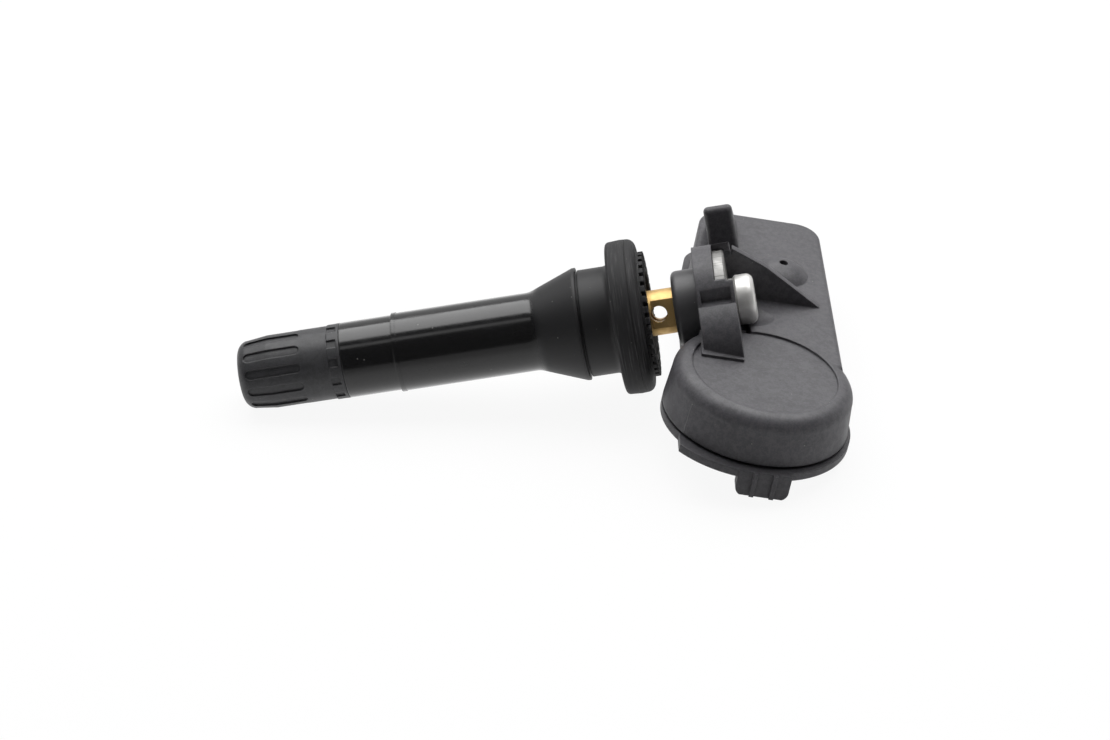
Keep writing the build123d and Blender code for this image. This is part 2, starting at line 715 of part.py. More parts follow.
def base_cover():
    """Welded cover: lip, shallow tray with board rests, and the ribbed end tab."""
    lip = slab_outline(LIP_OUT) + Pos(*LIP_SHIFT) * round_outline(lip_r)
    valve_side = Pos(LIP_LEFT, 0) * Rectangle(
        SLAB_FAR, 4 * SLAB_FAR, align=(Align.MAX, Align.CENTER)
    )
    flush = slab_outline() + round_outline(dome_wall_r)
    cover = plan(lip - valve_side + flush, lip_base, -BODY_DEPTH)
    tray = plan(tray_outline(), tray_base, lip_base)
    cover += chamfer(tray.edges().group_by(Axis.Z)[0], TRAY_EDGE)
    cover -= plan(tray_outline(TRAY_WALL), tray_floor, -BODY_DEPTH)
    tab_near = CELL_AT[1] + LIP_SHIFT[1] - lip_r
    face = Pos(TAB_AT, lip_base + LIP_T) * RectangleRounded(
        TAB_W, 2 * (TAB_DROP + LIP_T), TAB_CORNER_R
    )
    below = Pos(TAB_AT, lip_base + LIP_T) * Rectangle(
        TAB_W, TAB_DROP + LIP_T, align=(Align.CENTER, Align.MAX)
    )
    tab = Pos(0, tab_near + TAB_T, 0) * extrude(Plane.XZ * (face & below), TAB_T)
    tab_base = lip_base - TAB_DROP
    rise = make_face(
        Polyline(
            (tab_near - TAB_T, tab_base),
            (tab_near + TAB_T, tab_base),
            (tab_near - TAB_T, tab_base + 2 * TAB_DRAFT),
            close=True,
        )
    )
    cover += tab - Pos(TAB_AT - TAB_W, 0, 0) * extrude(Plane.YZ * rise, 2 * TAB_W)
    for side in (-1, 1):
        at = TAB_AT + side * TAB_RIB_PITCH / 2
        cover += block(
            (at - TAB_RIB_W / 2, tab_near - TAB_RIB_OUT, tab_base + TAB_RIB_W / 2),
            (at + TAB_RIB_W / 2, tab_near + TAB_T, -BODY_DEPTH),
        )
    reach = TRAY_WALL + BOARD_IN + 2 * REST_R
    for x in (TRAY_LEFT + reach, TRAY_RIGHT - reach):
        for y in (TRAY_NEAR + reach, TRAY_FAR - reach):
            cover += Pos(x, y) * plan(Circle(REST_R), tray_floor - MATCH, board_base)
    return BODY * cover


def clamp_plate():
    """Plated steel plate that spreads the screw's pull over the collar."""
    plate = extrude(Plane.YZ * plate_outline(), PLATE_T)
    plate = chamfer(plate.faces().sort_by(Axis.X)[-1].edges(), PLATE_EDGE)
    return Pos(PLATE_AT, 0, 0) * plate - rod(PLATE_AT, plate_end, SCREW_D + 2 * SCREW_HOLE_FIT)


def stem_screw():
    """Pan-head screw with a washer face and a six-lobe drive, run into the tapped tail."""
    head_start = plate_end + WASHER_T
    head_end = head_start + HEAD_T
    head = rod(head_start, head_end, HEAD_D)
    head = fillet(ring_edges(head, head_end, HEAD_D / 2), HEAD_R)
    head = chamfer(ring_edges(head, head_start, HEAD_D / 2), HEAD_R / 3)
    head += rod(plate_end, head_start, WASHER_D)
    shank = rod(plate_end - SCREW_LEN, plate_end, SCREW_D)
    shank = chamfer(ring_edges(shank, plate_end - SCREW_LEN, SCREW_D / 2), MOUTH_CHAMFER)
    lobes = PolarLocations(DRIVE_R, DRIVE_LOBES) * Circle(DRIVE_LOBE_R)
    drive = Circle(DRIVE_R) + lobes
    recess = Pos(head_end - DRIVE_DEPTH, 0, 0) * extrude(Plane.YZ * drive, DRIVE_DEPTH + 1)
    return head + shank - recess


def coin_cell():
    """Round lithium cell with its stepped negative cap."""
    can = plan(Circle(CELL_D / 2), cell_base + CELL_CAP_T, cell_top)
    can = chamfer(can.edges().group_by(Axis.Z)[-1], CELL_EDGE)
    return BODY * on_cell(can + plan(Circle(CELL_CAP_D / 2), cell_base, cell_base + CELL_CAP_T))


def strap(points, at):
    """Bent battery strap of constant thickness, from its outline's lower side."""
    line = Polyline(*points)
    outline = make_face(offset(line, STRAP_T, side=Side.LEFT))
    return BODY * Pos(CELL_AT[0] + at - STRAP_W / 2, 0, 0) * extrude(Plane.YZ * outline, STRAP_W)


def positive_strap():
    """Strap from the cell's flat face, down its far side to the board."""
    inner_side = POSITIVE_STRAP_AT - STRAP_W / 2
    drop = CELL_AT[1] + math.sqrt((CELL_D / 2) ** 2 - inner_side**2) + STRAP_T
    tongue = CELL_AT[1] + math.sqrt((rib_r + STRAP_RIB_GAP) ** 2 - inner_side**2)
    return strap(
        [
            (tongue, cell_top),
            (drop, cell_top),
            (drop, board_top),
            (drop + STRAP_FOOT, board_top),
        ],
        POSITIVE_STRAP_AT,
    )


def negative_strap():
    """Strap from the cell's negative cap to the board."""
    edge = CELL_AT[1] + CELL_D / 2
    return strap(
        [
            (edge - NEGATIVE_STRAP_REACH, cell_base - STRAP_T),
            (edge + STRAP_T, cell_base - STRAP_T),
            (edge + STRAP_T, board_top),
            (edge + STRAP_T + STRAP_FOOT, board_top),
        ],
        NEGATIVE_STRAP_AT,
    )


def circuit_board():
    """Board lying in the tray on four rests."""
    return BODY * plan(tray_outline(TRAY_WALL + BOARD_IN), board_base, board_top)


def on_board(at, size):
    """Box-shaped component standing on the board."""
    return BODY * Pos(at[0], at[1], board_top) * Box(*size, align=(Align.CENTER, Align.CENTER, Align.MIN))


def sensor_chip():
    """Pressure sensor package with its port hole."""
    top = board_top + CHIP_T
    package = Pos(PORT_AT[0], PORT_AT[1], board_top) * Box(
        CHIP_SIZE, CHIP_SIZE, CHIP_T, align=(Align.CENTER, Align.CENTER, Align.MIN)
    )
    package = chamfer(package.edges().group_by(Axis.Z)[-1], CHIP_EDGE)
    package -= Pos(PORT_AT[0], PORT_AT[1]) * plan(Circle(SEAL_BORE / 2), top - CHIP_PORT_DEPTH, top)
    return BODY * package


def port_seal():
    """Rubber tube from the pressure port to the sensor package."""
    ring = Circle(SEAL_D / 2) - Circle(SEAL_BORE / 2)
    return BODY * Pos(PORT_AT[0], PORT_AT[1]) * plan(ring, board_top + CHIP_T, -ROOF)


def coil_part(width, height, start, end):
    """Bar of the wake-up coil, centred on the coil's own axis."""
    centre = board_top + COIL_FLANGE / 2
    return Pos((start + end) / 2 + COIL_AT[0], COIL_AT[1], centre) * Box(end - start, width, height)


def coil_core():
    """Ferrite bobbin of the wake-up coil."""
    half = COIL_LEN / 2
    core = coil_part(COIL_CORE, COIL_CORE, -half, half)
    core += coil_part(COIL_FLANGE, COIL_FLANGE, -half, COIL_FLANGE_T - half)
    core += coil_part(COIL_FLANGE, COIL_FLANGE, half - COIL_FLANGE_T, half)
    return BODY * core


def coil_winding():
    """Copper winding between the bobbin's flanges."""
    half = COIL_LEN / 2 - COIL_FLANGE_T
    wound = coil_part(COIL_WIRE, COIL_WIRE, -half, half)
    wound = fillet(wound.edges().filter_by(Axis.X), (COIL_WIRE - COIL_CORE) / 2)
    return BODY * (wound - coil_part(COIL_CORE, COIL_CORE, -half, half))


def crystal():
    """Crystal can on the board."""
    return on_board(CRYSTAL_AT, CRYSTAL_SIZE)


def capacitors():
    """Row of chip capacitors on the board."""
    first_x, row_y = CAPACITOR_FIRST
    places = [(first_x + CAPACITOR_PITCH * i, row_y) for i in range(CAPACITORS)]
    return Part() + [on_board(place, CAPACITOR_SIZE) for place in places]


def antenna():
    """Bent wire aerial standing on the board."""
    top = board_top + ANTENNA_H
    start = CELL_AT[1] + CELL_D / 2 + STRAP_FOOT + ANTENNA_GAP
    end = start + ANTENNA_SPAN
    path = FilletPolyline(
        (ANTENNA_AT, start, board_top),
        (ANTENNA_AT, start, top),
        (ANTENNA_AT, end, top),
        (ANTENNA_AT, end, board_top),
        radius=ANTENNA_R,
    )
    section = Plane(path @ 0, z_dir=path % 0) * Circle(ANTENNA_WIRE / 2)
    return BODY * sweep(section, path=path)


def resting_pitch():
    """Rise of the valve axis when the cap's end and the tray's outer edge lie on a table."""
    edges = [
        BODY * Pos(TRAY_RIGHT - TRAY_EDGE, 0, tray_base),
        BODY * Pos(TRAY_RIGHT, 0, tray_base + TRAY_EDGE),
    ]
    taper = math.atan2(CAP_END_IN, CAP_TAPER_LEN)
    centre = cap_end_r - CAP_END_R * (1 - math.sin(taper)) / math.cos(taper)
    ends = [
        (cap_closed + CAP_TAPER_LEN, cap_r, 0),
        (cap_closed + CAP_END_R, centre, CAP_END_R),
    ]
    pitches = []
    for edge in edges:
        spans = [(edge.position.X - x, -edge.position.Z - r, rounding) for x, r, rounding in ends]
        pitches.append(
            min(math.atan2(drop, run) - math.asin(r / math.hypot(run, drop)) for run, drop, r in spans)
        )
    return math.degrees(max(pitches))


PIECES = {
    "rubber_valve": rubber_valve,
    "brass_stem": brass_stem,
    "core_plug": core_plug,
    "core_gasket": core_gasket,
    "core_pin": core_pin,
    "core_seal": core_seal,
    "core_spring": core_spring,
    "valve_cap": valve_cap,
    "cap_seal": cap_seal,
    "sensor_housing": sensor_housing,
    "base_cover": base_cover,
    "clamp_plate": clamp_plate,
    "stem_screw": stem_screw,
    "coin_cell": coin_cell,
    "positive_strap": positive_strap,
    "negative_strap": negative_strap,
    "circuit_board": circuit_board,
    "sensor_chip": sensor_chip,
    "port_seal": port_seal,
    "coil_core": coil_core,
    "coil_winding": coil_winding,
    "crystal": crystal,
    "capacitors": capacitors,
    "antenna": antenna,
}

os.makedirs("parts", exist_ok=True)
LIE = Rot(0, -resting_pitch(), 0)
print("rest pitch", round(resting_pitch(), 4))
for name, make in PIECES.items():
    export_step(LIE * make(), f"parts/{name}.step")
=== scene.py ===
import json
import math
from collections import namedtuple

import bpy
import numpy as np
from mathutils import Matrix, Vector


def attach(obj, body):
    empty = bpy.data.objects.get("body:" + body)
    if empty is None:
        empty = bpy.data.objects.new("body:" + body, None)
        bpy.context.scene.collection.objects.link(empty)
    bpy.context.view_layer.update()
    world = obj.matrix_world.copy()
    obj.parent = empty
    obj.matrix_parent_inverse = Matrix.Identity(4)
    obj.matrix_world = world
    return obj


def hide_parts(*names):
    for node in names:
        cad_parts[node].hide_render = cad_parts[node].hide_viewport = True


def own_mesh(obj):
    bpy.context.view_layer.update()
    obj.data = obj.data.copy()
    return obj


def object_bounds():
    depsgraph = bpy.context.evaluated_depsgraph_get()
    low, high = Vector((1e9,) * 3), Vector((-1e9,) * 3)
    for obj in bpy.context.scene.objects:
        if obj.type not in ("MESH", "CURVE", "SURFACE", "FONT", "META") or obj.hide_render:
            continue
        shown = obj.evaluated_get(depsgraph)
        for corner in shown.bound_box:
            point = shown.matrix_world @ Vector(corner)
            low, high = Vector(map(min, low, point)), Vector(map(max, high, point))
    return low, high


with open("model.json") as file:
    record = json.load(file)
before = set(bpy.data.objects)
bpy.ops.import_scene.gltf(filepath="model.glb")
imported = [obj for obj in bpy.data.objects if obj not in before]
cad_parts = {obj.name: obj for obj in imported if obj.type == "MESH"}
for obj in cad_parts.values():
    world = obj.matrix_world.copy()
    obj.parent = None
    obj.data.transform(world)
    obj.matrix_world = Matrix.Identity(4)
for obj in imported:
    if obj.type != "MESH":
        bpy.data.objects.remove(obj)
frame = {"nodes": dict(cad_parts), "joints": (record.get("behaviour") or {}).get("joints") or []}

bl_info = {
    "name": "Tyre pressure sensor finish",
    "version": (1, 0, 0),
    "blender": (4, 5, 0),
    "location": "View3D > Sidebar > Sensor",
    "description": "Surfaces, light and camera for a snap-in tyre pressure sensor",
    "category": "Object",
}

CAD_BOX = [list(corner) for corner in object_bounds()]
MM = 0.001
IN_MM = (1 / MM, 1 / MM, 1 / MM)
VALUE = "NodeSocketFloat"
VECTOR = "NodeSocketVector"

# The valve axis is the axis along which the core's pin is pressed.
PRESS = next(joint for joint in frame["joints"] if joint["name"] == "pin_press")
VALVE_AXIS = np.array(PRESS["axis"], float)
PITCH = math.atan2(VALVE_AXIS[2], VALVE_AXIS[0])

# Stations along the valve axis from the rim groove, and radii about it, in millimetres.
RUBBER_MOUTH = -31.7
CONE_START = -8.0
FLANGE_START = 2.0
PARTING_AT = 4.5
NOSE_END = 12.45
THREAD_RADIUS = 3.85
NOSE_RADIUS = 4.7
FLANGE_RADIUS = 9.5

# Flat top of the sensor body: its bend against the valve, and its station and drop in millimetres.
BODY_BEND = math.radians(20.0)
BODY_AT = 15.0
BODY_DROP = 1.2

# Middle of the cell on that flat, in millimetres, and the turn about it at which the mould seam stands.
CELL_AT = (5.1, -12.5)
SEAM_TURN = -2.5

# Colours of small details.
DUST = (0.42, 0.41, 0.39)
SATIN_RUBBER = (0.0175, 0.0172, 0.0184)
SCUFFED_RUBBER = (0.085, 0.083, 0.085)
PARTING_SHADOW = (0.004, 0.004, 0.004)
# Painted shade in the roots of the inflation thread.
THREAD_ROOT_SHADE = (0.16, 0.10, 0.04)
ROLLED_STEEL = (0.13, 0.128, 0.125)
NOSE_PLASTIC = (0.060, 0.059, 0.063)
SEAM_PLASTIC = (0.13, 0.128, 0.135)

# Size of the photograph in pixels, and the width of the camera's film in millimetres.
PICTURE = (1110, 740)
FILM = 36.0

Finish = namedtuple("Finish", "material tree shader place")


class SensorFinish(bpy.types.PropertyGroup):
    """Colours of the visible pieces."""

    rubber: bpy.props.FloatVectorProperty(
        name="Rubber", description="Colour of the valve", subtype="COLOR", default=(0.0075, 0.0075, 0.008)
    )
    cap: bpy.props.FloatVectorProperty(
        name="Cap", description="Colour of the dust cap", subtype="COLOR", default=(0.038, 0.038, 0.041)
    )
    body: bpy.props.FloatVectorProperty(
        name="Body", description="Colour of the sensor body", subtype="COLOR", default=(0.073, 0.071, 0.078)
    )
    cover: bpy.props.FloatVectorProperty(
        name="Cover", description="Colour of the base cover", subtype="COLOR", default=(0.064, 0.062, 0.068)
    )
    brass: bpy.props.FloatVectorProperty(
        name="Brass", description="Colour of the stem", subtype="COLOR", default=(0.78, 0.53, 0.22)
    )
    steel: bpy.props.FloatVectorProperty(
        name="Steel", description="Colour of the plated screw", subtype="COLOR", default=(0.74, 0.73, 0.71)
    )


class SensorThread(bpy.types.PropertyGroup):
    """Sizes of the inflation thread."""

    depth: bpy.props.FloatProperty(
        name="Depth", description="Depth of the ridges", default=0.46 * MM, unit="LENGTH"
    )
    pitch: bpy.props.FloatProperty(
        name="Pitch", description="Lift of one turn", default=0.79375 * MM, unit="LENGTH"
    )


class SensorSpring(bpy.types.PropertyGroup):
    """Sizes of the core's coil spring."""

    wire: bpy.props.FloatProperty(
        name="Wire", description="Diameter of the wire", default=0.26 * MM, unit="LENGTH"
    )
    turns: bpy.props.IntProperty(name="Turns", description="Turns of wire", default=5)


class SensorStage(bpy.types.PropertyGroup):
    """Camera and light."""

    elevation: bpy.props.FloatProperty(
        name="Elevation", description="Camera above the table", default=math.radians(32.0), subtype="ANGLE"
    )
    roll: bpy.props.FloatProperty(
        name="Roll", description="Turn of the picture", default=math.radians(1.3), subtype="ANGLE"
    )
    distance: bpy.props.FloatProperty(
        name="Distance", description="Camera to rim groove", default=0.45, unit="LENGTH"
    )
    lens: bpy.props.FloatProperty(
        name="Lens", description="Focal length in millimetres", default=119.09, unit="CAMERA"
    )
    seat_x: bpy.props.FloatProperty(
        name="Seat X", description="Rim groove from the left of the picture", default=599.6, subtype="PIXEL"
    )
    seat_y: bpy.props.FloatProperty(
        name="Seat Y", description="Rim groove from the top of the picture", default=321.3, subtype="PIXEL"
    )
    softbox: bpy.props.FloatProperty(
        name="Softbox", description="Power of the lamp above and behind", default=5.6, unit="POWER"
    )
    strip: bpy.props.FloatProperty(
        name="Strip", description="Power of the narrow lamp in front of it", default=0.23, unit="POWER"
    )


def make_node(tree, kind, inputs=None, **settings):
    """One shader node with its settings, and its sockets set or linked by name or number."""
    made = tree.nodes.new(kind)
    for key, value in settings.items():
        setattr(made, key, value)
    for key, value in (inputs or {}).items():
        if isinstance(value, bpy.types.NodeSocket):
            tree.links.new(value, made.inputs[key])
        else:
            made.inputs[key].default_value = value
    return made


def maths(tree, operation, *values):
    """Result socket of one Math node."""
    return make_node(tree, "ShaderNodeMath", dict(enumerate(values)), operation=operation).outputs[0]


def between(tree, value, low, high, to_low=0.0, to_high=1.0):
    """Smooth step of a value from one range to another."""
    made = make_node(
        tree,
        "ShaderNodeMapRange",
        {"Value": value, "From Min": low, "From Max": high, "To Min": to_low, "To Max": to_high},
        interpolation_type="SMOOTHSTEP",
    )
    return made.outputs[0]


def split(tree, vector):
    """The three sockets of a vector's parts."""
    return make_node(tree, "ShaderNodeSeparateXYZ", {0: vector}).outputs


def noise(tree, vector, scale=1.0, detail=2.0, roughness=0.5):
    """Value socket of a noise in space."""
    inputs = {"Vector": vector, "Scale": scale, "Detail": detail, "Roughness": roughness}
    return make_node(tree, "ShaderNodeTexNoise", inputs).outputs[0]


def line_noise(tree, value, detail, roughness):
    """Value socket of a noise along one value."""
    inputs = {"W": value, "Scale": 1.0, "Detail": detail, "Roughness": roughness}
    return make_node(tree, "ShaderNodeTexNoise", inputs, noise_dimensions="1D").outputs[0]


def new_group(name, inputs, outputs):
    """Shader group with its sockets and its input node."""
    tree = bpy.data.node_groups.new(name, "ShaderNodeTree")
    for label, kind, default in inputs:
        socket = tree.interface.new_socket(label, in_out="INPUT", socket_type=kind)
        if default is not None:
            socket.default_value = default
    for label, kind in outputs:
        tree.interface.new_socket(label, in_out="OUTPUT", socket_type=kind)
    return tree, tree.nodes.new("NodeGroupInput").outputs


def put_out(tree, sockets):
    """End a shader group: link its results to its outputs by name."""
    make_node(tree, "NodeGroupOutput", sockets)


def use_group(tree, name, inputs=None):
    """Output sockets of a shader group placed in a material."""
    return make_node(tree, "ShaderNodeGroup", inputs, node_tree=bpy.data.node_groups[name]).outputs


def group_valve_space():
    """Object coordinates turned to the valve axis, in millimetres, with radius and turn."""
    outputs = [("Vector", VECTOR), ("Along", VALUE), ("Radius", VALUE), ("Turn", VALUE)]
    tree, _ = new_group("Valve space", [], outputs)
    place = make_node(tree, "ShaderNodeTexCoord").outputs["Object"]
    turned = make_node(
        tree, "ShaderNodeMapping", {"Vector": place, "Rotation": (0, PITCH, 0), "Scale": IN_MM}
    ).outputs[0]
    along, side, above = split(tree, turned)
    square = maths(tree, "MULTIPLY", side, side)
    radius = maths(tree, "SQRT", maths(tree, "MULTIPLY_ADD", above, above, square))
    turn = maths(tree, "ARCTAN2", side, above)
    put_out(tree, {"Vector": turned, "Along": along, "Radius": radius, "Turn": turn})


def group_body_space():
    """Object coordinates on the flat top of the sensor body, in millimetres."""
    outputs = [("Vector", VECTOR), ("X", VALUE), ("Y", VALUE), ("Z", VALUE)]
    tree, _ = new_group("Body space", [], outputs)
    place = make_node(tree, "ShaderNodeTexCoord").outputs["Object"]
    shift = (-BODY_AT * math.cos(BODY_BEND), 0, BODY_DROP - BODY_AT * math.sin(BODY_BEND))
    bend = (0, PITCH - BODY_BEND, 0)
    turned = make_node(
        tree, "ShaderNodeMapping", {"Vector": place, "Rotation": bend, "Scale": IN_MM, "Location": shift}
    ).outputs[0]
    put_out(tree, {"Vector": turned, **dict(zip("XYZ", split(tree, turned)))})


def group_moulded_grain():
    """Fine mould texture: two sizes of noise as height, and slow drifts of tone and gloss."""
    tree, come = new_group(
        "Moulded grain",
        [("Vector", VECTOR, None), ("Size", VALUE, 0.12), ("Drift", VALUE, 6.0)],
        [("Height", VALUE), ("Tone", VALUE), ("Gloss", VALUE)],
    )
    place = come["Vector"]
    fine = maths(tree, "DIVIDE", 1.0, come["Size"])
    slow = maths(tree, "DIVIDE", 1.0, come["Drift"])
    small = noise(tree, place, fine, detail=2.0, roughness=0.6)
    large = noise(tree, place, maths(tree, "MULTIPLY", fine, 0.31), detail=1.0)
    height = maths(tree, "MULTIPLY_ADD", large, 0.45, maths(tree, "MULTIPLY", small, 0.55))
    tone = noise(tree, place, slow, detail=4.0, roughness=0.55)
    gloss = noise(tree, place, maths(tree, "MULTIPLY", slow, 2.7), detail=5.0)
    put_out(tree, {"Height": height, "Tone": tone, "Gloss": gloss})


def group_edge_highlight():
    """Mask of a painted edge highlight: where a rounded normal leaves the true one, broken up by noise."""
    inputs = [("Vector", VECTOR, None), ("Width", VALUE, 0.3 * MM)]
    tree, come = new_group("Edge highlight", inputs, [("Mask", VALUE)])
    soft = make_node(tree, "ShaderNodeBevel", {"Radius": come["Width"]}, samples=4).outputs[0]
    true = make_node(tree, "ShaderNodeNewGeometry").outputs["True Normal"]
    dot = make_node(tree, "ShaderNodeVectorMath", {0: soft, 1: true}, operation="DOT_PRODUCT")
    edge = between(tree, dot.outputs["Value"], 0.985, 0.80)
    breakup = noise(tree, come["Vector"], 1.7, detail=4.0, roughness=0.65)
    put_out(tree, {"Mask": maths(tree, "MULTIPLY", edge, between(tree, breakup, 0.3, 0.75))})


def group_dust():
    """Mask of sparse specks: small discs about the points of a few random cells."""
    empty = 0.72
    least = 0.4
    tree, come = new_group(
        "Dust specks",
        [("Vector", VECTOR, None), ("Size", VALUE, 0.05), ("Cell", VALUE, 1.2)],
        [("Mask", VALUE)],
    )
    count = maths(tree, "DIVIDE", 1.0, come["Cell"])
    cells = make_node(tree, "ShaderNodeTexVoronoi", {"Vector": come["Vector"], "Scale": count}).outputs
    pick = make_node(tree, "ShaderNodeSeparateColor", {0: cells["Color"]}).outputs
    rare = maths(tree, "GREATER_THAN", pick[0], empty)
    size = maths(tree, "MULTIPLY", come["Size"], maths(tree, "ADD", pick[1], least))
    spot = maths(tree, "LESS_THAN", cells["Distance"], maths(tree, "MULTIPLY", size, count))
    put_out(tree, {"Mask": maths(tree, "MULTIPLY", spot, rare)})


def group_smears():
    """Mask of handling smears: patches drawn out along the valve."""
    tree, come = new_group("Smears", [("Vector", VECTOR, None)], [("Mask", VALUE)])
    drawn = make_node(tree, "ShaderNodeMapping", {"Vector": come["Vector"], "Scale": (0.16, 0.5, 0.5)})
    patch = noise(tree, drawn.outputs[0], detail=5.0, roughness=0.62)
    put_out(tree, {"Mask": between(tree, patch, 0.52, 0.70)})


def group_scuffs():
    """Patches of light scuffs drawn out round the valve: noise fine along the axis, slow about it."""
    lines_in_mm = 4.5
    patches_in_mm = 0.5
    lines_in_radian = 1.6
    tree, come = new_group("Scuffs", [("Along", VALUE, 0.0), ("Turn", VALUE, 0.0)], [("Mask", VALUE)])
    slow = maths(tree, "MULTIPLY", come["Turn"], lines_in_radian)
    fine = maths(tree, "MULTIPLY", come["Along"], lines_in_mm)
    wide = maths(tree, "MULTIPLY", come["Along"], patches_in_mm)
    lines = make_node(tree, "ShaderNodeCombineXYZ", {0: fine, 1: slow}).outputs[0]
    patches = make_node(tree, "ShaderNodeCombineXYZ", {0: wide, 1: slow}).outputs[0]
    drawn = between(tree, noise(tree, lines, detail=4.0, roughness=0.65), 0.48, 0.66)
    where = between(tree, noise(tree, patches, detail=1.0), 0.42, 0.6, 0.1, 1.0)
    put_out(tree, {"Mask": maths(tree, "MULTIPLY", drawn, where)})


def group_screw_thread():
    """Height of a screw thread: a triangle wave of the station in pitches plus the share of a turn."""
    tree, come = new_group(
        "Screw thread",
        [("Along", VALUE, 0.0), ("Turn", VALUE, 0.0), ("Pitch", VALUE, 0.8)],
        [("Height", VALUE)],
    )
    share = maths(tree, "DIVIDE", come["Turn"], 2 * math.pi)
    count = maths(tree, "ADD", maths(tree, "DIVIDE", come["Along"], come["Pitch"]), share)
    wave = maths(tree, "PINGPONG", count, 0.5)
    put_out(tree, {"Height": maths(tree, "MULTIPLY", wave, 2.0)})


def blank_material(name):
    """Material with an empty tree, its Principled shader and its output joined."""
    made = bpy.data.materials.new(name)
    made.use_nodes = True
    tree = made.node_tree
    tree.nodes.clear()
    shader = make_node(tree, "ShaderNodeBsdfPrincipled")
    make_node(tree, "ShaderNodeOutputMaterial", {"Surface": shader.outputs[0]})
    return made, tree, shader


def shade(colour, gain):
    """A colour made lighter or darker."""
    return tuple(min(1.0, part * gain) for part in colour)


def mix_colour(tree, factor, first, second):
    """Colour socket between two colours, each a socket or a plain colour."""
    ends = [(*colour, 1.0) if isinstance(colour, tuple) else colour for colour in (first, second)]
    made = make_node(tree, "ShaderNodeMix", {0: factor, 6: ends[0], 7: ends[1]}, data_type="RGBA")
    return made.outputs[2]


def lay_over(finish, socket, mask, value, share=1.0):
    """Mix a colour or a plain value over what feeds one socket of the shader, where the mask says."""
    tree = finish.tree
    under = finish.shader.inputs[socket].links[0].from_socket
    if share < 1.0:
        mask = maths(tree, "MULTIPLY", mask, share)
    if isinstance(value, tuple):
        mixed = mix_colour(tree, mask, under, value)
    else:
        mixed = make_node(tree, "ShaderNodeMix", {0: mask, 2: under, 3: value}).outputs[0]
    tree.links.new(mixed, finish.shader.inputs[socket])


def round_edges(finish, width):
    """Round the shader's normal over sharp edges, by a width in metres."""
    soft = make_node(finish.tree, "ShaderNodeBevel", {"Radius": width}, samples=6)
    finish.tree.links.new(soft.outputs[0], finish.shader.inputs["Normal"])


def bump_over(finish, height, depth, strength=1.0):
    """Bump the shader's normal by a height, with its depth in metres, over what shapes it already."""
    normal = finish.shader.inputs["Normal"]
    under = normal.links[0].from_socket
    inputs = {"Strength": strength, "Distance": depth, "Height": height, "Normal": under}
    finish.tree.links.new(make_node(finish.tree, "ShaderNodeBump", inputs).outputs[0], normal)


def moulded(name, colour, space, *, size, depth, rough, spread, edge, edge_highlight_share):
    """Moulded plastic or rubber: fine grain, slow tone drift and edges made paler by a painted highlight.

    The grain's size is in millimetres, and its depth and the edge's width are in metres.
    """
    made, tree, shader = blank_material(name)
    place = use_group(tree, space)
    finish = Finish(made, tree, shader, place)
    grain = use_group(tree, "Moulded grain", {"Vector": place["Vector"], "Size": size})
    edge_highlight = use_group(tree, "Edge highlight", {"Vector": place["Vector"], "Width": edge})
    drift = between(tree, grain["Tone"], 0.3, 0.7, 0.3, 0.7)
    speckle = between(tree, grain["Height"], 0.35, 0.65, -0.6, 0.6)
    mottle = maths(tree, "ADD", drift, speckle)
    base = mix_colour(tree, mottle, shade(colour, 0.83), shade(colour, 1.17))
    tree.links.new(base, shader.inputs["Base Color"])
    # Painted highlight: a paler copy of the colour over the edges, standing in for light caught on them.
    lay_over(finish, "Base Color", edge_highlight["Mask"], shade(colour, 2.2), share=edge_highlight_share)
    gloss = between(tree, grain["Gloss"], 0.3, 0.7, rough - spread, rough + spread)
    tree.links.new(gloss, shader.inputs["Roughness"])
    round_edges(finish, edge)
    bump_over(finish, grain["Height"], depth)
    return finish


def turned_metal(name, colour, *, rough, ring, depth, metallic=1.0):
    """Turned metal: fine rings about the valve axis and faint tarnish.

    The rings' spacing is in millimetres, and their depth is in metres.
    """
    made, tree, shader = blank_material(name)
    place = use_group(tree, "Valve space")
    finish = Finish(made, tree, shader, place)
    grain = use_group(tree, "Moulded grain", {"Vector": place["Vector"], "Size": 0.4, "Drift": 2.5})
    tarnish = between(tree, grain["Tone"], 0.3, 0.75)
    base = mix_colour(tree, tarnish, shade(colour, 1.05), shade(colour, 0.78))
    tree.links.new(base, shader.inputs["Base Color"])
    gloss = between(tree, grain["Gloss"], 0.3, 0.7, rough - 0.07, rough + 0.09)
    tree.links.new(gloss, shader.inputs["Roughness"])
    shader.inputs["Metallic"].default_value = metallic
    rings = line_noise(tree, maths(tree, "DIVIDE", place["Along"], ring), detail=3.0, roughness=0.7)
    round_edges(finish, 0.12 * MM)
    bump_over(finish, rings, depth, strength=0.6)
    return finish


def add_dust(finish, *, size, cell, share):
    """Scatter pale specks over a finish. Their size and the room for each are in millimetres."""
    inputs = {"Vector": finish.place["Vector"], "Size": size, "Cell": cell}
    specks = use_group(finish.tree, "Dust specks", inputs)
    lay_over(finish, "Base Color", specks["Mask"], DUST, share)
    lay_over(finish, "Roughness", specks["Mask"], 0.8, share)


def dress(finish, *names):
    """Give one or more solids a finish."""
    for name in names:
        mesh = frame["nodes"][name].data
        mesh.materials.clear()
        mesh.materials.append(finish.material)
        mesh.polygons.foreach_set("material_index", np.zeros(len(mesh.polygons), dtype=np.int32))


class SENSOR_OT_shared_effects(bpy.types.Operator):
    """Build the shader groups that the finishes share"""

    bl_idname = "sensor.shared_effects"
    bl_label = "Shared effects"

    def execute(self, context):
        group_valve_space()
        group_body_space()
        group_moulded_grain()
        group_edge_highlight()
        group_dust()
        group_smears()
        group_scuffs()
        group_screw_thread()
        return {"FINISHED"}


